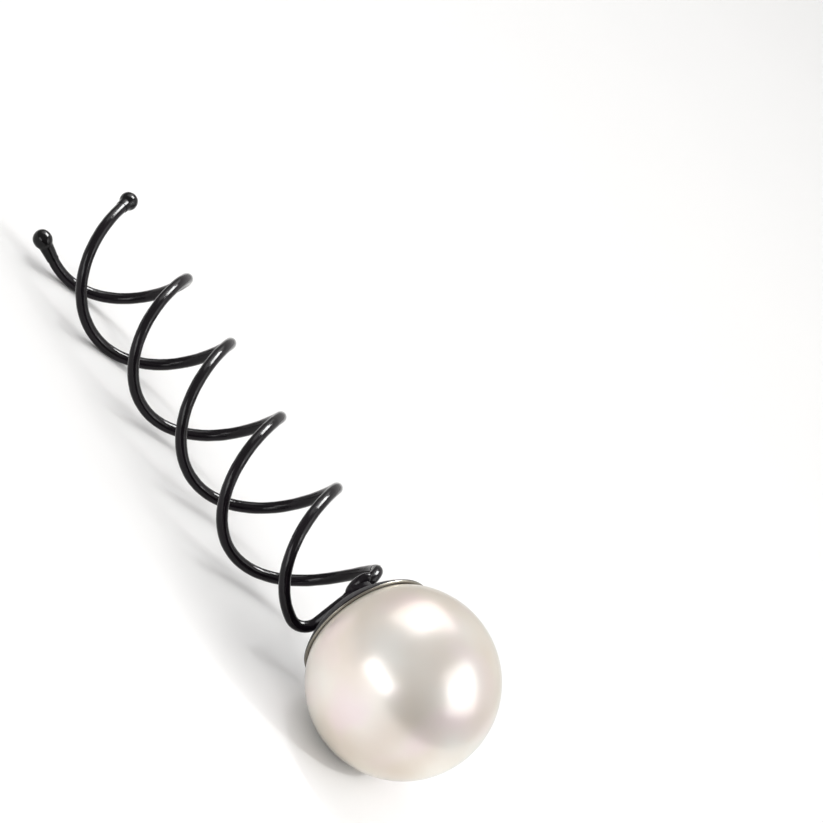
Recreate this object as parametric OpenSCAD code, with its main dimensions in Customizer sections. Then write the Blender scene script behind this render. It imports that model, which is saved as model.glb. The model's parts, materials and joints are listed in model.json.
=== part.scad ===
// Spiral bun pin: one wire bent in two and wound into a double spiral,
// soldered to a small cup that carries a large pearl bead. Sizes in millimetres.
// The pin lies on a table, on its pearl and on one turn of the spiral.

/* [Pearl] */
// Diameter of the pearl bead
pearl_d = 16; // [12:0.5:20]
// Diameter of the blind hole in the bead
hole_d = 1.3; // [1.1:0.1:1.8]
// Depth of the blind hole
hole_len = 6; // [4:0.5:8]

/* [Cup] */
// Outside diameter of the cup at its rim
cup_d = 11.8; // [9:0.1:13]
// Thickness of the cup's metal
cup_wall = 0.3; // [0.2:0.05:0.6]
// Glue gap between the cup and the bead
cup_gap = 0.05; // [0.03:0.01:0.2]
// Diameter of the peg that holds the bead
peg_d = 1.2; // [0.8:0.05:1.2]
// Length of the peg inside the bead
peg_len = 5; // [3:0.5:6]

/* [Wire] */
// Thickness of the wire
wire_d = 1; // [0.8:0.05:1.4]
// Radius of the bend where a leg turns onto the cup, at the wire's middle
bend_r = 1.45; // [1:0.05:1.6]
// Height of the solder between the cup and the wire that crosses it
solder_h = 0.6; // [0.2:0.05:1.2]
// Diameter of the solder where it meets the cup
solder_d = 3.8; // [2.4:0.1:5]

/* [Spiral] */
// Outside diameter of the spiral
spiral_d = 10.2; // [8:0.1:12]
// Length of one turn of a leg, along the axis
pitch = 17.2; // [14:0.1:22]
// Angle round the axis from the crossing wire to the start of a leg's spiral
corner_angle = 21; // [15:1:28]
// Length of leg A along the axis, from the crossing wire to its ball tip
leg_a_len = 42.6; // [30:0.1:50]
// Length of leg B along the axis, from the crossing wire to its ball tip
leg_b_len = 44.8; // [30:0.1:50]

/* [Ball tips] */
// Diameter of the ball tips
ball_d = 1.6; // [1.4:0.05:2.2]
// Length of the neck of ball tip A, from the middle of the ball
neck_a_len = 1.2; // [0.9:0.1:3]
// Length of the neck of ball tip B, from the middle of the ball
neck_b_len = 2.1; // [0.9:0.1:3]
// Thickness of the coat where a neck runs out on the wire
coat = 0.12; // [0.08:0.01:0.2]
// Gap between the wire and the ball tip's socket
tip_gap = 0.03; // [0.02:0.01:0.05]

/* [Resting place] */
// Roll of the pin about its axis as it lies
rest_roll = 13.5; // [0:0.1:360]

/* [Hidden] */
$fn = 64;

// Shape of each leg, as bent by hand: a row for each fifth of its length, from
// the cup to the tip, with the share that its radius is larger than the
// spiral's and the degrees that it runs ahead of an even turn.
RADIUS = 0;
LEAD = 1;
leg_a_form = [[0, 1], [0.02, 4], [0.04, -1], [-0.04, -6], [0.02, -2], [0.12, -14]];
leg_b_form = [[-0.22, 6], [0.20, -8], [-0.07, 0], [0.04, 4], [-0.01, 9], [-0.12, 8]];

pearl_r = pearl_d / 2;
cup_in_r = pearl_r + cup_gap;
cup_out_r = cup_in_r + cup_wall;
wire_r = wire_d / 2;
ball_r = ball_d / 2;
spiral_r = spiral_d / 2 - wire_r;
// Climb of a leg for each degree of turn, and its slope
climb = pitch / 360;
slope = atan2(pitch, 2 * PI * spiral_r);
// Distance from the bead's middle to the wire that crosses the cup
bar_z = cup_out_r + solder_h + wire_r;
// Distance from the bead's middle to the start of both spirals
start_z = bar_z + spiral_r * tan(corner_angle) * tan(slope);

WIRE_SIDES = 12;
TURN_STEP = 9;
BEND_STEPS = 9;
SLIVER = 0.01;

function unit(v) = v / norm(v);
function row_at(form, i) = form[min(max(i, 0), len(form) - 1)];

// Smooth value of a leg's table at a share of its length
function form_at(form, col, share) =
    let (x = min(max(share, 0), 1) * (len(form) - 1))
    let (i = min(floor(x), len(form) - 2), f = x - i)
    let (a = row_at(form, i - 1)[col], b = row_at(form, i)[col])
    let (c = row_at(form, i + 1)[col], d = row_at(form, i + 2)[col])
    b + f * (c - a) / 2 + f * f * (2 * a - 5 * b + 4 * c - d) / 2 + f * f * f * (3 * b - a - 3 * c + d) / 2;

// Where a leg's spiral ends and its straight end begins
function end_z(leg_len, neck_len) = bar_z + leg_len - neck_len * sin(slope);

// Point of a leg's spiral at a share of its length; first is its angle at the cup
function leg_point(share, first, form, leg_len, neck_len) =
    let (z = start_z + share * (end_z(leg_len, neck_len) - start_z))
    let (r = spiral_r * (1 + form_at(form, RADIUS, share)))
    let (a = first + corner_angle + (z - start_z) / climb + form_at(form, LEAD, share))
    [r * cos(a), r * sin(a), z];

// A leg's spiral from the cup to its straight end
function leg_spiral(first, form, leg_len, neck_len) =
    let (steps = ceil((end_z(leg_len, neck_len) - start_z) / climb / TURN_STEP))
    [for (i = [0:steps]) leg_point(i / steps, first, form, leg_len, neck_len)];

// The straight end that the ball tip sits on
function straight_end(spiral, neck_len) =
    let (n = len(spiral), last = spiral[n - 1], dir = unit(last - spiral[n - 2]))
    [last + dir * neck_len / 2, last + dir * neck_len];

// Where the line of a leg's start meets the height of the crossing wire
function corner_of(spiral) =
    let (dir = unit(spiral[0] - spiral[1]))
    spiral[0] + dir * (bar_z - spiral[0].z) / dir.z;

// Round bend between a leg's line and the crossing wire, from the leg inwards
function corner_bend(spiral, other) =
    let (corner = corner_of(spiral))
    let (dir_in = unit(spiral[0] - spiral[1]), dir_out = unit(corner_of(other) - corner))
    let (turn = acos(dir_in * dir_out), axis = unit(cross(dir_in, dir_out)))
    let (middle = corner + unit(dir_out - dir_in) * bend_r / cos(turn / 2))
    let (arm = corner - dir_in * bend_r * tan(turn / 2) - middle)
    [for (i = [0:BEND_STEPS])
        let (a = turn * i / BEND_STEPS) middle + arm * cos(a) + cross(axis, arm) * sin(a)];

function reversed(list) = [for (i = [len(list) - 1:-1:0]) list[i]];

spiral_a = leg_spiral(180, leg_a_form, leg_a_len, neck_a_len);
spiral_b = leg_spiral(0, leg_b_form, leg_b_len, neck_b_len);
end_a = straight_end(spiral_a, neck_a_len);
end_b = straight_end(spiral_b, neck_b_len);
wire_path = concat(
    reversed(end_a), reversed(spiral_a), corner_bend(spiral_a, spiral_b),
    reversed(corner_bend(spiral_b, spiral_a)), spiral_b, end_b);

// Direction of the wire at a point of its path
function heading(path, i) = unit(path[min(i + 1, len(path) - 1)] - path[max(i - 1, 0)]);

// Ring of points round the wire, square to its direction
function ring(path, i) =
    let (dir = heading(path, i), side = unit(cross(dir, [0, 0, 1])), top = cross(side, dir))
    [for (k = [0:WIRE_SIDES - 1])
        let (a = 360 * k / WIRE_SIDES) path[i] + wire_r * (side * cos(a) + top * sin(a))];

// Lies on the table: the pin tips down from its pearl until the wire or a ball
// touches, so the tilt is the least that any point of it allows.
function rolled(p) = [
    p.x * cos(rest_roll) - p.y * sin(rest_roll),
    p.x * sin(rest_roll) + p.y * cos(rest_roll), p.z];
function tilt_for(p, r) =
    let (q = rolled(p), arm = norm([q.x, q.z]))
    atan2(q.x, q.z) + asin((pearl_r - r) / arm);
tip_a = wire_path[0];
tip_b = wire_path[len(wire_path) - 1];
rest_tilt = min(
    min([for (p = wire_path) tilt_for(p, wire_r)]), tilt_for(tip_a, ball_r), tilt_for(tip_b, ball_r));

// How far a ball tip reaches from the bead's middle, along the table
function reach(p) = let (q = rolled(p)) q.x * sin(rest_tilt) + q.z * cos(rest_tilt) + ball_r;
far_end = max(reach(tip_a), reach(tip_b));

// Puts a piece from the pin's own axis to where it lies
module at_rest() {
    translate([(far_end - pearl_r) / 2, 0, pearl_r])
        rotate([0, -90 - rest_tilt, 0]) rotate([0, 0, rest_roll]) children();
}

// Turns a piece that points along Z to point along a direction
module along(dir) {
    rotate([0, acos(dir.z), atan2(dir.y, dir.x)]) children();
}

module wire() {
    path = wire_path;
    last = len(path) - 1;
    rings = [for (i = [0:last]) each ring(path, i)];
    walls = [for (i = [0:last - 1], k = [0:WIRE_SIDES - 1])
        let (a = i * WIRE_SIDES, n = (k + 1) % WIRE_SIDES)
        each [[a + k, a + n, a + WIRE_SIDES + n], [a + k, a + WIRE_SIDES + n, a + WIRE_SIDES + k]]];
    start_cap = [for (k = [WIRE_SIDES - 1:-1:0]) k];
    end_cap = [for (k = [0:WIRE_SIDES - 1]) last * WIRE_SIDES + k];
    polyhedron(rings, concat([start_cap], walls, [end_cap]), convexity = 10);
}

// Half of the cup's section is turned about the axis: two arcs and a flat rim
module cup() {
    rim_angle = asin(cup_d / 2 / cup_out_r);
    rim_z = cup_out_r * cos(rim_angle);
    rotate_extrude() intersection() {
        difference() {
            circle(cup_out_r);
            circle(cup_in_r);
        }
        translate([0, rim_z]) square([cup_d / 2, cup_out_r]);
    }
}

// Solder between the cup's back and the wire, up to the wire's middle
module solder() {
    base_z = cup_out_r - cup_wall / 2 - solder_d * solder_d / 8 / cup_out_r;
    translate([0, 0, base_z]) cylinder(h = bar_z - base_z, d1 = solder_d, d2 = 1.4 * wire_d);
}

module peg() {
    translate([0, 0, cup_in_r - peg_len]) cylinder(h = peg_len + cup_wall / 2, d = peg_d);
}

module pearl() {
    color("#efe9e0") at_rest() difference() {
        sphere(pearl_r);
        translate([0, 0, pearl_r - hole_len]) cylinder(h = hole_len + 1, d = hole_d);
    }
}

module spiral_pin() {
    color("#1b181c") at_rest() {
        wire();
        cup();
        solder();
        peg();
    }
}

// A dipped ball with a neck that runs out along the wire, hollow where the wire sits
module ball_tip(path_end, before, neck_len) {
    neck_r = wire_r + coat;
    throat_z = sqrt(ball_r * ball_r - neck_r * neck_r);
    throat_r = sqrt(ball_r * ball_r - throat_z * throat_z / 4);
    at_rest() translate(path_end) along(unit(path_end - before)) difference() {
        union() {
            sphere(ball_r);
            translate([0, 0, -neck_len])
                cylinder(h = neck_len - throat_z / 2, r1 = neck_r, r2 = throat_r);
        }
        translate([0, 0, -neck_len - SLIVER])
            cylinder(h = neck_len + SLIVER + tip_gap, r = wire_r + tip_gap);
    }
}

module ball_tip_a() {
    color("#171419") ball_tip(end_a[1], end_a[0], neck_a_len);
}

module ball_tip_b() {
    color("#171419") ball_tip(end_b[1], end_b[0], neck_b_len);
}

pearl();
spiral_pin();
ball_tip_a();
ball_tip_b();
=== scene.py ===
# %% [markdown]
# # A spiral bun pin
# The pin is one steel wire, bent in two. Its legs wind round each other like a corkscrew with two threads,
# and the bend between them crosses the back of a small cup, where it is soldered. A pearl bead is glued in
# the cup, and each leg ends in a ball of dipped resin, so that it slides into a bun of hair without a
# scratch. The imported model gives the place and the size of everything. This lesson dresses it.

import json
import math
from math import radians

import bmesh
import bpy
from mathutils import Matrix, Vector, noise


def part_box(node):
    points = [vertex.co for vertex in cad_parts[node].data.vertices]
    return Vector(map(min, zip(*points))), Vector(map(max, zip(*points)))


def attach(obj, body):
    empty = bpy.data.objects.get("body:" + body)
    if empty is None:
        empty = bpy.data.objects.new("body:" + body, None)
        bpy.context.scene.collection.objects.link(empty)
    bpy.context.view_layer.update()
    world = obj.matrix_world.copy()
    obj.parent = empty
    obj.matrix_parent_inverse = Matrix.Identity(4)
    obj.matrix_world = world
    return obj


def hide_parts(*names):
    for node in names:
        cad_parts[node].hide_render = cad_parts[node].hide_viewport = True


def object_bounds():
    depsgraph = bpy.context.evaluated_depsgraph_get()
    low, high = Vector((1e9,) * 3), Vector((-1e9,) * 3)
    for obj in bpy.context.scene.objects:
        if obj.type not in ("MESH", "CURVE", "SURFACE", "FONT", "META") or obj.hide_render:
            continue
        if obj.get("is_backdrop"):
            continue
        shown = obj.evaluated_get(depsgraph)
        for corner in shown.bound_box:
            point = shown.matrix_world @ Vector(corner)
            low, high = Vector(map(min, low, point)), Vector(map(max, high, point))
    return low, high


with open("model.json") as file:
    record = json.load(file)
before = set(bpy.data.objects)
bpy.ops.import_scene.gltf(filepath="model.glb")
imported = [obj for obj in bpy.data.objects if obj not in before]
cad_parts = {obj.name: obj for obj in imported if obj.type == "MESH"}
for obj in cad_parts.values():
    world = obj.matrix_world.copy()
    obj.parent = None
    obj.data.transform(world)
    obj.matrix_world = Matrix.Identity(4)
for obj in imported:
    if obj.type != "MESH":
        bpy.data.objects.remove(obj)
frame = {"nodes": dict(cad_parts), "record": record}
cad_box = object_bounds()
print("nodes:", sorted(frame["nodes"]))
print("box of the solids:", [tuple(round(c, 5) for c in corner) for corner in cad_box])

# %% [markdown]
# ## The pin's own axis
# A maker draws the pin upright on its axis, in millimetres, and lays it down afterwards. We do the same.
# The pearl's box gives the middle that all is measured from, and the record's mount gives the direction of
# the axis, towards the tips. One matrix, called at_rest, then lays every finished mesh on the table.

# %% Lay the axis down
MM = 0.001
REST_ROLL = 13.5      # degrees that the lying pin is rolled about its axis
pearl_low, pearl_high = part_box("pearl")
pearl_middle = (pearl_low + pearl_high) / 2
pearl_r = (pearl_high.z - pearl_low.z) / 2 / MM
spiral_mount = frame["record"]["mounts"][0]
towards_tips = Vector(spiral_mount["axis"]).normalized()
tilt = math.atan2(-towards_tips.z, -towards_tips.x)
at_rest = (
    Matrix.Translation(pearl_middle)
    @ Matrix.Rotation(radians(-90) - tilt, 4, "Y")
    @ Matrix.Rotation(radians(REST_ROLL), 4, "Z")
    @ Matrix.Scale(MM, 4)
)
print(f"the pearl is {2 * pearl_r:.2f} mm wide, and the axis tilts by {math.degrees(tilt):.2f} degrees")

# %% [markdown]
# ## The camera
# The photographer stood close with a long lens, so the pin hardly tapers towards its tips. The camera looks
# down at the table at a low angle and is turned about its own axis, which puts the pin on the diagonal.

# %% Place the camera
LENS = 190.5          # mm, on a sensor 36 mm wide
CAMERA_AZIMUTH = 31.15
CAMERA_ELEVATION = 21.34
CAMERA_ROLL = 45.44
CAMERA_TARGET = Vector((-12.09, 29.48, 8.0)) * MM
CAMERA_DISTANCE = 393.2 * MM

camera_data = bpy.data.cameras.new("camera")
camera_data.lens = LENS
camera_data.sensor_width = 36
camera_data.clip_start = 0.01
camera_data.clip_end = 10
camera = bpy.data.objects.new("camera", camera_data)
azimuth, elevation = radians(CAMERA_AZIMUTH), radians(CAMERA_ELEVATION)
camera_back = Vector((
    math.sin(azimuth) * math.cos(elevation),
    -math.cos(azimuth) * math.cos(elevation),
    math.sin(elevation),
))
camera.location = CAMERA_TARGET + camera_back * CAMERA_DISTANCE
look = (-camera_back).to_track_quat("-Z", "Y").to_matrix() @ Matrix.Rotation(radians(CAMERA_ROLL), 3, "Z")
camera.rotation_euler = look.to_euler()
bpy.context.scene.collection.objects.link(camera)
bpy.context.scene.camera = camera
print("camera height above the table:", round(camera.location.z / MM), "mm")

# %% [markdown]
# ## A small helper for nodes
# Materials and Geometry Nodes are both trees of nodes. Written out by hand, a sum of four terms takes a
# dozen lines. The class Socket wraps a node's output and overloads Python's operators, so that 1 - mask
# adds the Math node itself. The class Nodes has one method, add, for every other node: it takes the node's
# type, its settings, and the values or links of its inputs, by name or by number.

# %% Sockets that can be added and multiplied
class Socket:
    """An output of a node, which can stand in a Python sum."""

    def __init__(self, nodes, socket):
        self.nodes = nodes
        self.socket = socket

    def __add__(self, other):
        return self.nodes.math("ADD", self, other)

    def __radd__(self, other):
        return self.nodes.math("ADD", other, self)

    def __sub__(self, other):
        return self.nodes.math("SUBTRACT", self, other)

    def __rsub__(self, other):
        return self.nodes.math("SUBTRACT", other, self)

    def __mul__(self, other):
        return self.nodes.math("MULTIPLY", self, other)

    def __rmul__(self, other):
        return self.nodes.math("MULTIPLY", other, self)

    def __truediv__(self, other):
        return self.nodes.math("DIVIDE", self, other)

    def __rtruediv__(self, other):
        return self.nodes.math("DIVIDE", other, self)

    def __pow__(self, other):
        return self.nodes.math("POWER", self, other)

# %% One method for every node
class Nodes:
    """Adds nodes to a tree of shader nodes or of geometry nodes."""

    def __init__(self, tree):
        self.tree = tree

    def add(self, kind, settings=None, inputs=None, output=0):
        node = self.tree.nodes.new(kind)
        for name, value in (settings or {}).items():
            if name == "stops":
                self.set_stops(node.color_ramp.elements, value)
            else:
                setattr(node, name, value)
        for key, value in (inputs or {}).items():
            self.feed(self.find(node.inputs, key), value)
        return Socket(self, self.find(node.outputs, output))

    def find(self, sockets, key):
        """A socket by its name, or by its number among those that are switched on."""
        shown = [s for s in sockets if s.enabled]
        if isinstance(key, int):
            return shown[key]
        return next(s for s in shown if s.name == key)

    def feed(self, target, value):
        if isinstance(value, Socket):
            self.tree.links.new(value.socket, target)
        else:
            target.default_value = value

    def set_stops(self, elements, stops):
        while len(elements) < len(stops):
            elements.new(1.0)
        for element, (position, colour) in zip(elements, stops):
            element.position = position
            element.color = colour

    def math(self, operation, *values):
        return self.add("ShaderNodeMath", {"operation": operation}, dict(enumerate(values)))

    def vector(self, operation, *values, output=0):
        return self.add("ShaderNodeVectorMath", {"operation": operation}, dict(enumerate(values)), output)

    def mix(self, share, first, second):
        """Mixes two colours."""
        return self.add("ShaderNodeMix", {"data_type": "RGBA"}, {0: share, 1: first, 2: second})

# %% [markdown]
# ## Finishes
# Three finishes cover the pin. The bead is plastic under pearl lacquer, the wire is steel under glossy
# black enamel, and the balls are dipped in black resin. Each is a Principled shader with a few nodes on
# Object coordinates. What is the same all over stands on the shader's own sockets.

# %% Start a material
def new_material(name, **constants):
    """A Principled material, with its constants on the shader's own sockets."""
    material = bpy.data.materials.new(name)
    material.use_nodes = True
    shader = material.node_tree.nodes["Principled BSDF"]
    for socket, value in constants.items():
        shader.inputs[socket.replace("_", " ")].default_value = value
    return material, Nodes(material.node_tree), shader


def noise_at(nodes, place, size, detail=2.0):
    """Noise from 0 to 1 whose blobs are about size millimetres wide."""
    return nodes.add(
        "ShaderNodeTexNoise", {}, {"Vector": place, "Scale": 1 / (size * MM), "Detail": detail},
    )


def bump(nodes, height, depth):
    """A bump of depth millimetres, which feeds a shader's Normal."""
    return nodes.add("ShaderNodeBump", {}, {"Strength": 1.0, "Distance": depth * MM, "Height": height})

# %% [markdown]
# ### Pearl lacquer
# A pearl's glow comes from thin layers that spread a reflection and tint it. Several coats of fish-silver
# lacquer do it here. A base that is part metal, at middling roughness, gives the broad soft highlights. A
# thin film gives the play of colour as the view turns, a clear coat gives the faint sharper gloss on top,
# and large weak noise makes cream, silver and rose drift over the bead.

# %% Pearl
PEARL_ROUGHNESS = 0.305
PEARL_UNEVENNESS = 0.04    # how far its roughness varies in all


def pearl_lacquer():
    material, nodes, shader = new_material(
        "pearl_lacquer", Metallic=0.38, IOR=1.5, Coat_Weight=0.35, Coat_Roughness=0.12, Coat_IOR=1.5,
        Subsurface_Weight=0.10, Subsurface_Radius=(1.0, 0.7, 0.5), Subsurface_Scale=0.0015,
        Thin_Film_Thickness=330.0, Thin_Film_IOR=1.35,
    )
    place = nodes.add("ShaderNodeTexCoord", output="Object")
    drift = noise_at(nodes, place, 7.0, detail=1.0)
    blush = noise_at(nodes, nodes.vector("ADD", place, (0.03, 0.01, 0.02)), 5.0, detail=1.0)
    cream = nodes.add(
        "ShaderNodeValToRGB",
        {"stops": [
            (0.35, (0.65, 0.59, 0.52, 1)),
            (0.50, (0.70, 0.66, 0.60, 1)),
            (0.65, (0.75, 0.74, 0.70, 1)),
        ]},
        {"Fac": drift},
    )
    share = nodes.add("ShaderNodeMapRange", {}, {
        "Value": blush, "From Min": 0.5, "From Max": 0.7, "To Max": 0.7,
    })
    tinted = nodes.mix(share, cream, (0.71, 0.61, 0.615, 1))
    satin = PEARL_ROUGHNESS + (noise_at(nodes, place, 1.6, detail=1.0) - 0.5) * PEARL_UNEVENNESS
    nodes.feed(shader.inputs["Base Color"], tinted)
    nodes.feed(shader.inputs["Roughness"], satin)
    nodes.feed(shader.inputs["Normal"], bump(nodes, noise_at(nodes, place, 2.5, detail=1.0), 0.004))
    return material

# %% [markdown]
# ### Black enamel
# The enamel is thick and glossy. It is not quite black: in the light it has a trace of violet. Where it ran
# before it set it has an orange-peel ripple, which breaks up the highlights on the strands.

# %% Enamel and resin
GLOSS_UNEVENNESS = 0.14    # how far the roughness of the black coats varies in all


def black_gloss(name, tint, roughness, ripple):
    """What both black coats share. Tint is the paler of the two blacks, and ripple is a depth in mm."""
    material, nodes, shader = new_material(name, IOR=1.5, Specular_IOR_Level=0.22)
    place = nodes.add("ShaderNodeTexCoord", output="Object")
    black = nodes.mix(noise_at(nodes, place, 2.4), (0.002, 0.0018, 0.002, 1), tint)
    gloss = roughness + (noise_at(nodes, place, 0.8) - 0.5) * GLOSS_UNEVENNESS
    nodes.feed(shader.inputs["Normal"], bump(nodes, noise_at(nodes, place, 0.45, detail=3.0), ripple))
    return material, nodes, shader, black, gloss


def black_resin():
    tint = (0.005, 0.0045, 0.005, 1)
    material, nodes, shader, black, gloss = black_gloss("black_resin", tint, 0.12, 0.006)
    nodes.feed(shader.inputs["Base Color"], black)
    nodes.feed(shader.inputs["Roughness"], gloss)
    return material


def black_enamel():
    """The mesh's attribute "bare" is 1 where grey metal shows, and "thin" is 1 where the coat is dull."""
    tint = (0.008, 0.0055, 0.0085, 1)
    material, nodes, shader, black, gloss = black_gloss("black_enamel", tint, 0.14, 0.016)
    bare = nodes.add("ShaderNodeAttribute", {"attribute_name": "bare"}, output="Fac")
    nodes.feed(shader.inputs["Base Color"], nodes.mix(bare, black, (0.24, 0.225, 0.19, 1)))
    nodes.feed(shader.inputs["Metallic"], bare * 0.9)
    thin = nodes.add("ShaderNodeAttribute", {"attribute_name": "thin"}, output="Fac")
    nodes.feed(shader.inputs["Roughness"], gloss + bare * 0.2 + thin * 0.4)
    return material


PEARL_FINISH = pearl_lacquer()
ENAMEL = black_enamel()
RESIN = black_resin()
print("finishes:", [m.name for m in (PEARL_FINISH, ENAMEL, RESIN)])

# %% [markdown]
# ## The wire
# The wire is the main piece, and it follows a rule: a point that climbs one pitch for each turn round the
# axis. Curves drawn by hand would drift, and a Screw modifier can't bend the ends in. Geometry Nodes can
# hold the whole rule, so the tree below starts from a bare line of points and works out where each belongs.
#
# The real legs were wound by hand and are uneven. Two short tables say so, with a row at each fifth of a
# leg from the cup to the tip: the share that its radius is wider than the spiral's, and the degrees that it
# runs ahead of an even turn. The rows are the vertices of the mesh that the modifier sits on.

# %% Sizes of the wire, in millimetres
WIRE_D = 1.0
SPIRAL_R = 4.6        # from the axis to the wire's middle
PITCH = 17.2
CORNER_ANGLE = 21.0   # from the crossing wire to the start of a leg's spiral
BAR_Z = 9.45          # from the pearl's middle to the wire that crosses the cup
BEND_R = 1.45         # of the corner between the crossing wire and a leg
LEG_LENGTHS = (42.6, 44.8)    # along the axis, leg A first
NECK_LENGTHS = (1.2, 2.1)     # the last straight bit of each leg
LEG_FORMS = (
    ((0.00, 1), (0.02, 4), (0.04, -1), (-0.04, -6), (0.02, -2), (0.12, -14)),
    ((-0.20, 9), (0.20, -8), (-0.07, 0), (0.04, 4), (-0.01, 9), (-0.12, 8)),
)
ROWS = len(LEG_FORMS[0])
STEPS = 140           # along the spiral of each leg
LEG_POINTS = STEPS + 3        # the spiral's STEPS + 1 points, the tip and the corner
CORNER_STEPS = 12
WIRE_SIDES = 24
slope = math.atan2(PITCH, 2 * math.pi * SPIRAL_R)
start_z = BAR_Z + SPIRAL_R * math.tan(radians(CORNER_ANGLE)) * math.tan(slope)
print(f"a leg climbs at {math.degrees(slope):.1f} degrees, and its spiral starts {start_z:.2f} mm up")

# %% The bend tables as a mesh of points
def between_rows(a, b, c, d, f):
    """Smooth value at the share f of the way from row b to row c, for numbers and sockets alike."""
    square = f * f * (2 * a - 5 * b + 4 * c - d) / 2
    cube = f * f * f * (3 * b - a - 3 * c + d) / 2
    return b + f * (c - a) / 2 + square + cube


def bend_table():
    mesh = bpy.data.meshes.new("bend_table")
    rows = [row for form in LEG_FORMS for row in form]
    mesh.from_pydata([(0, 0, i) for i in range(len(rows))], [], [])
    for column, name in enumerate(("wider", "ahead")):
        attribute = mesh.attributes.new(name, "FLOAT", "POINT")
        attribute.data.foreach_set("value", [float(row[column]) for row in rows])
    table = bpy.data.objects.new("bend_table", mesh)
    bpy.context.scene.collection.objects.link(table)
    return table

# %% [markdown]
# The tree has four stages. First it spreads points along a line and winds both legs. Then it moves four of
# them: each leg's tip goes on along the last straight bit, and each corner goes where the leg's first line
# meets the crossing wire. Then it rounds the corners with Fillet Curve and sweeps a circle along the path.
# Last it lets the skin of enamel swell and thin by a few hundredths of a millimetre.

# %% Winding rule
def wind_legs(nodes, given, table, index):
    """Position of a point by its index: down leg A from tip to cup, then up leg B from cup to tip."""
    on_b = nodes.math("GREATER_THAN", index, LEG_POINTS - 0.5)

    def for_leg(a, b):
        return a + (b - a) * on_b

    from_cup = for_leg(LEG_POINTS - 2 - index, index - (LEG_POINTS + 1)) / STEPS
    share = nodes.math("MINIMUM", nodes.math("MAXIMUM", from_cup, 0.0), 1.0)
    row = share * (ROWS - 1)
    below = nodes.math("MINIMUM", nodes.math("FLOOR", row), ROWS - 2.0)
    f = row - below

    def table_value(column):
        def at(step):
            near = nodes.math("MINIMUM", nodes.math("MAXIMUM", below + step, 0.0), ROWS - 1.0)
            values = nodes.add("GeometryNodeInputNamedAttribute", {"data_type": "FLOAT"}, {"Name": column})
            return nodes.add(
                "GeometryNodeSampleIndex", {"data_type": "FLOAT"},
                {"Geometry": table, "Value": values, "Index": near + on_b * ROWS},
            )
        return between_rows(at(-1), at(0), at(1), at(2), f)

    leg = for_leg(given["Leg A length"], given["Leg B length"])
    neck = for_leg(given["Neck A length"], given["Neck B length"])
    end_z = given["Bar height"] + leg - neck * math.sin(slope)
    z = start_z + share * (end_z - start_z)
    radius = given["Spiral radius"] * (1 + table_value("wider"))
    degrees = (z - start_z) / given["Pitch"] * 360 + given["Corner angle"] + table_value("ahead")
    angle = nodes.math("RADIANS", degrees + 180 * (1 - on_b))
    position = nodes.add("ShaderNodeCombineXYZ", {}, {
        "X": radius * nodes.math("COSINE", angle), "Y": radius * nodes.math("SINE", angle), "Z": z,
    })
    return position, on_b, neck

# %% Tips and corners
def move_ends(nodes, bar_height, wound, index, on_b, neck):
    """Puts the first and last point out on the straight ends, and the middle two on the corners."""
    last = 2 * LEG_POINTS - 1
    is_tip = nodes.math("GREATER_THAN", nodes.math("ABSOLUTE", index - last / 2), last / 2 - 0.5)
    is_corner = nodes.math("LESS_THAN", nodes.math("ABSOLUTE", index - last / 2), 1.0)
    inwards = (is_tip - is_corner) * (1 - 2 * on_b)
    here = nodes.add("GeometryNodeInputPosition")

    def neighbour(steps):
        return nodes.add(
            "GeometryNodeSampleIndex", {"data_type": "FLOAT_VECTOR"},
            {"Geometry": wound, "Value": here, "Index": index + inwards * steps},
        )

    near = neighbour(1)
    direction = nodes.vector("NORMALIZE", nodes.vector("SUBTRACT", near, neighbour(2)))
    near_z = nodes.add("ShaderNodeSeparateXYZ", {}, {0: near}, "Z")
    direction_z = nodes.add("ShaderNodeSeparateXYZ", {}, {0: direction}, "Z")
    to_bar = (bar_height - near_z) / direction_z
    along = nodes.add("ShaderNodeVectorMath", {"operation": "SCALE"}, {
        0: direction, "Scale": neck * is_tip + to_bar * is_corner,
    })
    moved = nodes.add("GeometryNodeSetPosition", {}, {
        "Geometry": wound, "Selection": is_tip + is_corner, "Position": nodes.vector("ADD", near, along),
    })
    return moved, is_corner

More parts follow.
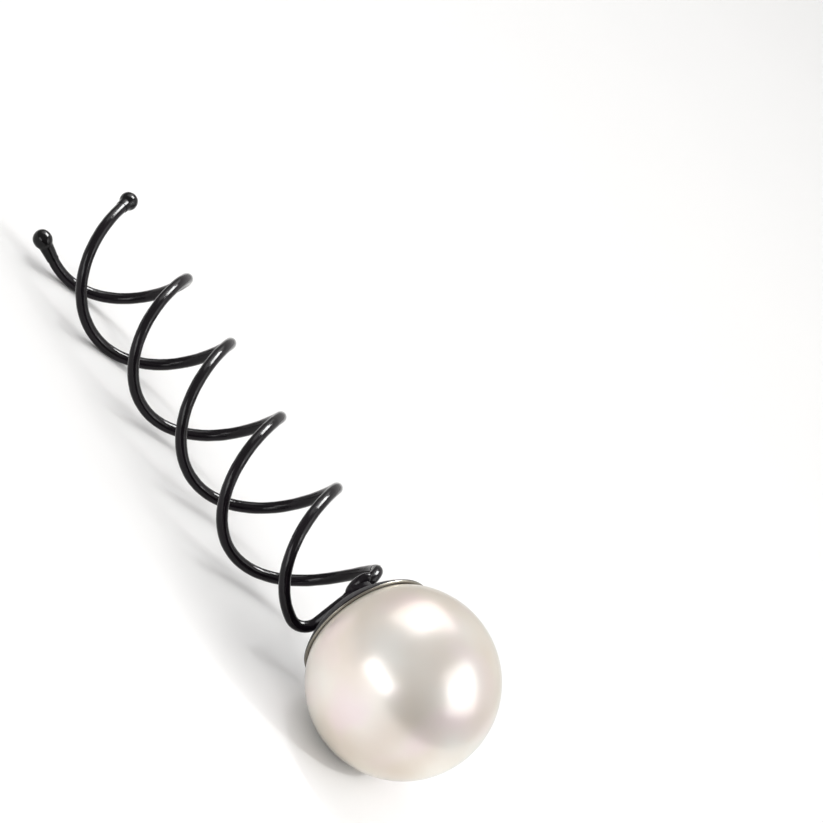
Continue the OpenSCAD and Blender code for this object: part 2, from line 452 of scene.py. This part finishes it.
# %% The whole tree
def wound_wire_tree(sizes):
    tree = bpy.data.node_groups.new("wound_wire", "GeometryNodeTree")
    tree.interface.new_socket("Geometry", in_out="INPUT", socket_type="NodeSocketGeometry")
    tree.interface.new_socket("Geometry", in_out="OUTPUT", socket_type="NodeSocketGeometry")
    for name in sizes:
        tree.interface.new_socket(name, in_out="INPUT", socket_type="NodeSocketFloat")
    tree.interface.new_socket("Finish", in_out="INPUT", socket_type="NodeSocketMaterial")
    nodes = Nodes(tree)
    group_input = tree.nodes.new("NodeGroupInput")
    given = {s.name: Socket(nodes, s) for s in group_input.outputs if s.name}

    line = nodes.add("GeometryNodeCurvePrimitiveLine")
    points = nodes.add("GeometryNodeResampleCurve", {}, {"Curve": line, "Count": 2 * LEG_POINTS})
    index = nodes.add("GeometryNodeInputIndex")
    position, on_b, neck = wind_legs(nodes, given, given["Geometry"], index)
    wound = nodes.add("GeometryNodeSetPosition", {}, {"Geometry": points, "Position": position})
    ended, is_corner = move_ends(nodes, given["Bar height"], wound, index, on_b, neck)
    rounded = nodes.add("GeometryNodeFilletCurve", {"mode": "POLY"}, {
        "Curve": ended, "Count": CORNER_STEPS, "Radius": given["Bend radius"] * is_corner,
    })
    even = nodes.add("GeometryNodeResampleCurve", {"mode": "LENGTH"}, {
        "Curve": rounded, "Length": given["Ring spacing"],
    })
    circle = nodes.add("GeometryNodeCurvePrimitiveCircle", {}, {
        "Resolution": WIRE_SIDES, "Radius": given["Wire thickness"] / 2,
    })
    tube = nodes.add("GeometryNodeCurveToMesh", {}, {
        "Curve": even, "Profile Curve": circle, "Fill Caps": True,
    })
    lumps = nodes.add("ShaderNodeTexNoise", {}, {
        "Vector": nodes.add("GeometryNodeInputPosition"), "Scale": 1 / given["Lump size"], "Detail": 1.0,
    })
    skin = nodes.add("ShaderNodeVectorMath", {"operation": "SCALE"}, {
        0: nodes.add("GeometryNodeInputNormal"), "Scale": (lumps - 0.5) * given["Lump height"],
    })
    lumpy = nodes.add("GeometryNodeSetPosition", {}, {"Geometry": tube, "Offset": skin})
    whole = nodes.add("GeometryNodeRealizeInstances", {}, {"Geometry": lumpy})
    coated = nodes.add("GeometryNodeSetMaterial", {}, {"Geometry": whole, "Material": given["Finish"]})
    group_output = tree.nodes.new("NodeGroupOutput")
    nodes.feed(group_output.inputs[0], coated)
    return tree

# %% Run the tree and keep the plain mesh
def dressed_by(piece, tree, values, name):
    """Runs a tree on an object, and gives its result as a plain mesh in a new object."""
    modifier = piece.modifiers.new(tree.name, "NODES")
    modifier.node_group = tree
    for item in tree.interface.items_tree:
        if item.in_out == "INPUT" and item.name in values:
            modifier[item.identifier] = values[item.name]
    piece.update_tag()
    evaluated = piece.evaluated_get(bpy.context.evaluated_depsgraph_get())
    mesh = bpy.data.meshes.new_from_object(evaluated)
    mesh.name = name
    bpy.data.objects.remove(piece)
    made = bpy.data.objects.new(name, mesh)
    bpy.context.scene.collection.objects.link(made)
    return made


WIRE_SIZES = {
    "Bar height": BAR_Z, "Spiral radius": SPIRAL_R, "Pitch": PITCH, "Corner angle": CORNER_ANGLE,
    "Leg A length": LEG_LENGTHS[0], "Leg B length": LEG_LENGTHS[1],
    "Neck A length": NECK_LENGTHS[0], "Neck B length": NECK_LENGTHS[1],
    "Bend radius": BEND_R, "Wire thickness": WIRE_D,
    "Ring spacing": 0.22, "Lump size": 1.3, "Lump height": 0.05,
}
wire = dressed_by(bend_table(), wound_wire_tree(WIRE_SIZES), {**WIRE_SIZES, "Finish": ENAMEL}, "wire")
wire_low = [round(min(v.co[k] for v in wire.data.vertices), 2) for k in range(3)]
wire_high = [round(max(v.co[k] for v in wire.data.vertices), 2) for k in range(3)]
print("wire:", len(wire.data.polygons), "faces, from", wire_low, "to", wire_high)

# %% [markdown]
# ## Turned pieces
# The bead, the cup and the balls are round about an axis, and the solder is a squashed round. Blender's
# Spin tool could turn them, but it leaves doubled points at the poles. The function below turns a closed
# outline of (radius, height) pairs and makes one point of each pole, so that the mesh is closed and ready
# for a union.

# %% Turn an outline about Z
def turned(name, outline, sides, shape=None):
    """A closed solid. Points of the outline with radius 0 become poles, and shape may move each point."""
    points, rings = [], []
    for r, z in outline:
        ring = []
        for side in range(1 if r == 0 else sides):
            angle = 2 * math.pi * side / sides
            point = Vector((r * math.cos(angle), r * math.sin(angle), z))
            ring.append(len(points))
            points.append(shape(point) if shape else point)
        rings.append(ring)
    faces = []
    for lower, upper in zip(rings, rings[1:]):
        for side in range(sides):
            after = (side + 1) % sides
            quad = [
                lower[side % len(lower)], lower[after % len(lower)],
                upper[after % len(upper)], upper[side % len(upper)],
            ]
            faces.append(list(dict.fromkeys(quad)))
    mesh = bpy.data.meshes.new(name)
    mesh.from_pydata(points, [], [face for face in faces if len(face) > 2])
    made = bpy.data.objects.new(name, mesh)
    bpy.context.scene.collection.objects.link(made)
    return made


def arc(radius, first, last, steps):
    """Points (radius, height) of an arc about the middle, its angles in degrees from straight up."""
    points = []
    for i in range(steps + 1):
        angle = radians(first + (last - first) * i / steps)
        on_axis = abs(math.sin(angle)) < 1e-9
        points.append((0.0 if on_axis else radius * math.sin(angle), radius * math.cos(angle)))
    return points

# %% [markdown]
# ## The cup and its solder
# The cup is a thin bowl stamped from sheet, so its rim is rounded and it hugs the bead. The peg stands in
# the middle and goes into the bead's hole.

# %% Cup with its peg
CUP_D = 11.8
CUP_WALL = 0.335
CUP_GAP = 0.015       # the lip is pressed onto the bead
LIP_TURN = 0.6        # degrees that the rounded lip reaches past the rim's angle
LIP_STEPS = 8
PEG_D = 1.2
PEG_LEN = 5.0
cup_in_r = pearl_r + CUP_GAP
cup_out_r = cup_in_r + CUP_WALL
rim_angle = math.degrees(math.asin(CUP_D / 2 / cup_out_r)) - LIP_TURN


def cup_with_peg():
    rim = radians(rim_angle)
    lip_r = CUP_WALL / 2
    lip_middle = (cup_in_r + lip_r) * Vector((math.sin(rim), math.cos(rim)))
    lip = []
    for i in range(1, LIP_STEPS):
        turn = radians(rim_angle + 180 * i / LIP_STEPS)
        lip.append((lip_middle.x + lip_r * math.sin(turn), lip_middle.y + lip_r * math.cos(turn)))
    peg_angle = math.degrees(math.asin(PEG_D / 2 / cup_in_r))
    peg = [(PEG_D / 2, cup_in_r - PEG_LEN), (0.0, cup_in_r - PEG_LEN)]
    outline = arc(cup_out_r, 0, rim_angle, 40) + lip + arc(cup_in_r, rim_angle, peg_angle, 36) + peg
    return turned("cup", outline[::-1], 160)


cup = cup_with_peg()
print("cup rim:", round(rim_angle, 1), "degrees from the axis")

# %% [markdown]
# Solder pulls up round a wire as it sets, so the pool's sides curve in and it is longer along the wire than
# across it. Towards leg B so much was fed in that a drop closed over the wire, and it shows as a dark lump
# in the corner of the bend. Metaballs would melt the shapes together, but leave the size of each to chance.
# A cylinder whose points are moved to the cup, and a stretched ball, stay where they are put.

# %% Solder
SOLDER_MIDDLE = 1.1   # from the axis, towards leg B
SOLDER_HALF_LENGTH = 1.35
SOLDER_HALF_WIDTH = 0.60
SOLDER_SPREAD = 0.5   # how much farther the foot reaches than the top
SOLDER_CURVE = 2.2    # how sharply the sides curve in
SOLDER_TOP = BAR_Z + 0.15
DROP_MIDDLE = Vector((1.6, 0.0, 9.62))
DROP_HALF_SIZE = Vector((1.35, 0.6, 0.6))


def dome_z(x, y):
    """Height of the middle of the cup's metal."""
    return math.sqrt((cup_in_r + CUP_WALL / 2) ** 2 - x * x - y * y)


def solder_pool():
    """The solder is drawn as a unit cylinder, then each point is moved to its place on the cup."""
    def settle(point):
        rise = point.z
        spread = SOLDER_SPREAD * max(0.0, 1 - rise) ** SOLDER_CURVE
        x = SOLDER_MIDDLE + point.x * (SOLDER_HALF_LENGTH + spread)
        y = point.y * (SOLDER_HALF_WIDTH + spread)
        foot = dome_z(x, y)
        return Vector((x, y, foot + rise * (SOLDER_TOP - foot)))

    side = [(1.0, i / 12) for i in range(13)]
    crown = [(0.6, 1.02), (0.0, 1.04)]
    return turned("solder", [(0.0, 0.0)] + side + crown, 64, settle)


def solder_drop():
    """The drop that closed over the wire."""
    def swell(point):
        return DROP_MIDDLE + point * DROP_HALF_SIZE
    return turned("solder_drop", arc(1.0, 180, 0, 24), 40, swell)


solder = solder_pool()
drop = solder_drop()
print(f"the pool reaches {SOLDER_TOP:.2f} mm up, and the drop {DROP_MIDDLE.z + DROP_HALF_SIZE.z:.2f} mm")

# %% [markdown]
# The wire, the cup and the solder are one piece of metal, so their meshes are joined by a Boolean union. A
# crease is left where they meet, and shading by angle keeps it crisp while the wire stays smooth.

# %% Fuse the metal
def fuse(base, *others):
    for other in others:
        union = base.modifiers.new(other.name, "BOOLEAN")
        union.operation = "UNION"
        union.solver = "MANIFOLD"
        union.object = other
    mesh = bpy.data.meshes.new_from_object(base.evaluated_get(bpy.context.evaluated_depsgraph_get()))
    base.modifiers.clear()
    for other in others:
        bpy.data.objects.remove(other)
    base.data = mesh
    return base


metal = fuse(wire, cup, solder, drop)
metal.name = metal.data.name = "enamelled_spiral"
metal.data.materials.clear()
metal.data.materials.append(ENAMEL)
print("fused metal:", len(metal.data.polygons), "faces")

# %% [markdown]
# Where the bead was pressed in, the enamel rubbed off the cup's lip, and a warm grey line of metal shows
# there. On the cup's back the coat is thin and dull. Two attributes mark the vertices of both, so that one
# enamel serves the whole piece.

# %% Mark the cup
def mark_cup(mesh):
    """Marks the inner three quarters of the rounded lip as bare, and the cup's back as thin."""
    bare = mesh.attributes.new("bare", "FLOAT", "POINT")
    thin = mesh.attributes.new("thin", "FLOAT", "POINT")
    for i, vertex in enumerate(mesh.vertices):
        place = vertex.co
        angle = math.degrees(math.atan2(math.hypot(place.x, place.y), place.z))
        on_lip = pearl_r < place.length < cup_in_r + 0.75 * CUP_WALL and angle > rim_angle + 0.2
        bare.data[i].value = float(on_lip)
        thin.data[i].value = float(abs(place.length - cup_out_r) < 0.01 and angle < rim_angle)
    print("bare vertices on the lip:", sum(mark.value > 0 for mark in bare.data))


mark_cup(metal.data)

# %% [markdown]
# ## The ball tips
# Each leg's end was dipped in resin. The drop hangs in a ball at the end and runs out along the wire in a
# thin neck. The outline blends the ball into the neck, and the bore that the wire sits in is part of it.

# %% Where the legs end
def leg_point(leg, share):
    """The winding rule again, for the two last points of a leg."""
    form = LEG_FORMS[leg]
    row = share * (ROWS - 1)
    i = min(int(row), ROWS - 2)
    f = row - i

    def table_value(column):
        near = [form[min(max(i + step, 0), ROWS - 1)][column] for step in (-1, 0, 1, 2)]
        return between_rows(*near, f)

    end_z = BAR_Z + LEG_LENGTHS[leg] - NECK_LENGTHS[leg] * math.sin(slope)
    z = start_z + share * (end_z - start_z)
    r = SPIRAL_R * (1 + table_value(0))
    angle = radians(180 * (1 - leg) + CORNER_ANGLE + (z - start_z) / PITCH * 360 + table_value(1))
    return Vector((r * math.cos(angle), r * math.sin(angle), z))


def leg_end(leg):
    """Middle of a leg's ball, and the direction in which the wire arrives there."""
    last = leg_point(leg, 1.0)
    direction = (last - leg_point(leg, 1 - 1 / STEPS)).normalized()
    return last + direction * NECK_LENGTHS[leg], direction

# %% Dip the balls
BALL_RADII = (0.8, 0.86)
TIP_GAP = 0.03        # play between the wire and the resin
NECK_EDGE = 0.012     # thickness of the resin where it runs out on the wire
NECK_COAT = 0.12      # what it grows by up to the ball
NECK_FLARE = 0.06     # what it grows by more, close to the ball
NECK_RINGS = 24
BLEND_POWER = 8       # a higher one makes a sharper corner between neck and ball
SWELL = 0.05          # of the ball's surface, in and out by about half of it


def ball_tip(name, leg):
    neck = NECK_LENGTHS[leg]
    round_r = BALL_RADII[leg]
    bore_r = WIRE_D / 2 + TIP_GAP
    outline = [(bore_r, -neck)]
    for i in range(NECK_RINGS + 1):
        z = -neck + (neck - 0.02) * i / NECK_RINGS
        run = min(1.0, (z + neck) / neck)
        neck_r = bore_r + NECK_EDGE + NECK_COAT * run + NECK_FLARE * run ** 3
        ball_r = math.sqrt(max(round_r ** 2 - z * z, 0.0))
        share = min(1.0, -z * 3)
        blend = (neck_r ** BLEND_POWER * share + ball_r ** BLEND_POWER) ** (1 / BLEND_POWER)
        outline.append((blend, z))
    outline += arc(round_r, 90, 0, 16)
    outline = [(0.0, TIP_GAP), (bore_r, TIP_GAP)] + outline
    middle, direction = leg_end(leg)
    stand = Matrix.Translation(middle) @ direction.to_track_quat("Z", "Y").to_matrix().to_4x4()

    def dip(point):
        swell = SWELL * noise.noise(point * 0.9 + Vector((7.0 * leg, 3.0, 1.0)))
        away = Vector((point.x, point.y, max(point.z, 0.0)))
        outside = 1.0 if away.length > bore_r + 0.02 else 0.0
        return stand @ (point + away.normalized() * swell * outside if away.length > 0 else point)

    piece = turned(name, outline, 48, dip)
    piece.data.materials.append(RESIN)
    return piece


tips = [ball_tip("resin_ball_a", 0), ball_tip("resin_ball_b", 1)]
for tip in tips:
    print(tip.name, len(tip.data.polygons), "faces")

# %% [markdown]
# ## The bead
# The bead is a true ball apart from its drilled hole, which hides under the cup. What is uneven in its
# lacquer is a matter of finish, so the mesh stays exact. A dense turned ball keeps its outline round at any
# zoom.

# %% Bead
HOLE_D = 1.3
HOLE_LEN = 6.0


def bead():
    hole_angle = math.degrees(math.asin(HOLE_D / 2 / pearl_r))
    hole = [(0.0, pearl_r - HOLE_LEN), (HOLE_D / 2, pearl_r - HOLE_LEN)]
    outline = hole + arc(pearl_r, hole_angle, 180, 180)
    piece = turned("pearl_bead", outline, 240)
    piece.data.materials.append(PEARL_FINISH)
    return piece


pearl = bead()
print("bead:", len(pearl.data.polygons), "faces")

# %% [markdown]
# ## Laying the pin on the table
# Every mesh so far stands upright in millimetres. Baking at_rest into it puts it on the table in metres,
# and leaves the object itself unturned at the origin. Normals are then turned outwards and the faces shaded
# smooth.

# %% Finish the meshes
CREASE_ANGLE = 40     # degrees, above which an edge stays sharp


def finish_mesh(piece):
    mesh = piece.data
    mesh.transform(at_rest)
    work = bmesh.new()
    work.from_mesh(mesh)
    bmesh.ops.recalc_face_normals(work, faces=work.faces)
    open_edges = sum(not edge.is_manifold for edge in work.edges)
    for edge in work.edges:
        edge.smooth = edge.is_manifold and edge.calc_face_angle() < radians(CREASE_ANGLE)
    for face in work.faces:
        face.smooth = True
    volume = work.calc_volume()
    work.to_mesh(mesh)
    work.free()
    print(f"{piece.name}: {volume / MM ** 3:.1f} mm3, open edges: {open_edges}")


BODY = "root"
for piece, node, slot in (
    (metal, "spiral_pin", "enamelled_wire"),
    (tips[0], "ball_tip_a", "ball_coat"),
    (tips[1], "ball_tip_b", "ball_coat"),
    (pearl, "pearl", "pearl"),
):
    finish_mesh(piece)
    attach(piece, BODY)
    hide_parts(node)

# %% [markdown]
# ## Table and light
# A pale table and soft boxes are all that a small glossy thing needs. The table ends a little way past the
# bead, because the lowest part of the dark gap between the bead's highlights mirrors the room beyond it.

# %% Table
TABLE_EDGE = 58       # mm, from the origin
TABLE_REACH = 3000    # mm, to its other sides


def table_top():
    edge, reach = TABLE_EDGE * MM, TABLE_REACH * MM
    corners = [(-reach, -reach, 0), (edge, -reach, 0), (edge, reach, 0), (-reach, reach, 0)]
    mesh = bpy.data.meshes.new("table")
    mesh.from_pydata(corners, [], [(0, 1, 2, 3)])
    material, nodes, shader = new_material("pale_table", Roughness=0.75, Specular_IOR_Level=0.2)
    place = nodes.add("ShaderNodeTexCoord", output="Object")
    nodes.feed(shader.inputs["Base Color"],
               nodes.mix(noise_at(nodes, place, 60.0), (0.86, 0.86, 0.86, 1), (0.90, 0.90, 0.895, 1)))
    mesh.materials.append(material)
    table = bpy.data.objects.new("table", mesh)
    bpy.context.scene.collection.objects.link(table)
    table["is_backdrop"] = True
    print(f"the table ends {TABLE_EDGE - pearl_middle.x / MM:.0f} mm past the bead's middle")


table_top()

# %% [markdown]
# A bead's highlights are mirror images of the lights, so each box stands where the bead should catch it:
# one high over the spiral, one high beyond the bead, and a low one in front, just above the table. A soft
# box is brightest in its middle, which gives a highlight a hot core and a soft edge, so each high one is
# two lights: a small core and a large weak cloth. A light's place is given as a direction from the bead,
# because that is how one thinks about a highlight: it shows halfway between the way to the light and the
# way to the camera.

# %% Soft boxes
FAR = 420             # mm from the bead
NEAR = 200


def soft_box(name, direction, distance, size, power):
    """An area light that shines on the bead from a direction, with its distance and size in millimetres."""
    light = bpy.data.lights.new(name, "AREA")
    light.shape = "RECTANGLE"
    light.size, light.size_y = size[0] * MM, size[1] * MM
    light.energy = power
    lamp = bpy.data.objects.new(name, light)
    way = Vector(direction).normalized()
    lamp.location = pearl_middle + way * distance * MM
    lamp.rotation_euler = (-way).to_track_quat("-Z", "Y").to_euler()
    bpy.context.scene.collection.objects.link(lamp)
    return lamp


for name, direction, distance, size, power in (
    ("box_high", (-0.52, -0.05, 0.85), FAR, (50, 44), 0.10),
    ("box_high_cloth", (-0.58, 0.04, 0.81), FAR, (400, 300), 0.76),
    ("box_right", (0.70, 0.22, 0.68), FAR, (44, 50), 0.10),
    ("box_right_cloth", (0.66, 0.34, 0.67), FAR, (320, 360), 0.74),
    ("box_left", (0.08, -0.98, 0.12), NEAR, (160, 60), 0.14),
):
    soft_box(name, direction, distance, size, power)
    print(name, "is", distance, "mm away and", size[0], "by", size[1], "mm")

# %% [markdown]
# What is a broad highlight on the bead is thinner than a pixel on the wire, and black enamel mirrors only
# a fiftieth of it, so the wire would look dull beside the bead. One more light gives the bright glints near
# the upper bends. It is linked to the metal and the balls alone, and its light counts in their gloss only,
# so that the black stays black.

# %% Light for the wire alone
def only_for(lamp, pieces):
    """Links a light to a few pieces and keeps it out of their matt colour."""
    receivers = bpy.data.collections.new(lamp.name + "_receivers")
    for piece in pieces:
        receivers.objects.link(piece)
    lamp.light_linking.receiver_collection = receivers
    lamp.visible_diffuse = False


glint_box = soft_box("box_glint", (-0.27, 0.27, 0.92), FAR, (200, 200), 5.0)
only_for(glint_box, [metal] + tips)
print("pieces that box_glint lights:", [piece.name for piece in [metal] + tips])

# %% [markdown]
# The left highlight reaches further down than a box above the table can stand. What the bead mirrors there
# is the table itself, so a spot light makes a brighter patch on it. A second spot lifts the bead's own
# shadow past its end, which darkened its underside.

# %% Pools of light on the table
POOL_LAMP_R = 12      # mm


def light_pool(name, direction, middle, width, power):
    """A spot light that shines from a direction, as seen from the bead, on a round patch of the table."""
    light = bpy.data.lights.new(name, "SPOT")
    light.energy = power
    light.spot_blend = 1.0
    light.shadow_soft_size = POOL_LAMP_R * MM
    lamp = bpy.data.objects.new(name, light)
    lamp.location = pearl_middle + Vector(direction).normalized() * FAR * MM
    way = Vector((*middle, 0.0)) * MM - lamp.location
    light.spot_size = 2 * math.atan(width * MM / 2 / way.length)
    lamp.rotation_euler = way.to_track_quat("-Z", "Y").to_euler()
    bpy.context.scene.collection.objects.link(lamp)
    print(f"{name}: {width} mm wide, at {middle} on the table")


light_pool("pool_left", (-0.50, -0.05, 0.86), (31, -40), 70, 6.0)
light_pool("pool_end", (0.70, 0.22, 0.68), (41, 4), 30, 5.0)

# %% [markdown]
# The rest of the room shows in the bead too. The dark gap between its two lower highlights is a part of the
# room that is left unlit, and the room behind the pin is paler. Two cosine lobes in the world's strength do
# both. The higher the power of a cosine, the narrower is its lobe.

# %% Sky of the studio
DARK_LOBE_POWER = 8
PALE_LOBE_POWER = 3
CEILING_FROM = 0.9    # sine of the angle above the horizon


def studio_sky(horizon, zenith, dark_side, dark_share, pale_side, pale_gain):
    """A world with a pale ceiling, one side of the room left dark and one side paler."""
    world = bpy.data.worlds.new("studio")
    world.use_nodes = True
    nodes = Nodes(world.node_tree)
    way = nodes.add("ShaderNodeTexCoord", output="Generated")
    height = nodes.add("ShaderNodeSeparateXYZ", {}, {0: way}, "Z")
    rise = nodes.add("ShaderNodeMapRange", {}, {
        "Value": height, "From Min": 0.0, "From Max": CEILING_FROM, "To Min": horizon, "To Max": zenith,
    })

    def facing(side):
        cosine = nodes.vector("DOT_PRODUCT", way, Vector(side).normalized(), output="Value")
        return nodes.math("MAXIMUM", cosine, 0.0)

    pale = facing(pale_side) ** PALE_LOBE_POWER * pale_gain
    dark = facing(dark_side) ** DARK_LOBE_POWER * dark_share
    background = world.node_tree.nodes["Background"]
    nodes.feed(background.inputs["Color"], (1.0, 0.985, 0.97, 1))
    nodes.feed(background.inputs["Strength"], (rise + pale) * (1 - dark))
    bpy.context.scene.world = world
    print(f"sky: strength {horizon} at the horizon and {zenith} above, {dark_share:.0%} darker on one side")


studio_sky(
    horizon=0.46, zenith=0.50,
    dark_side=(0.90, -0.43, 0.02), dark_share=0.98,
    pale_side=(0.05, 0.93, 0.35), pale_gain=0.5,
)
bpy.context.scene.view_settings.view_transform = "Standard"

# %% Measure the growth over the solids
dressed_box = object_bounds()
growth = [
    round((dressed_box[1][k] - dressed_box[0][k]) / (cad_box[1][k] - cad_box[0][k]) - 1, 4)
    for k in range(3)
]
print("growth over the solids, in shares:", growth)
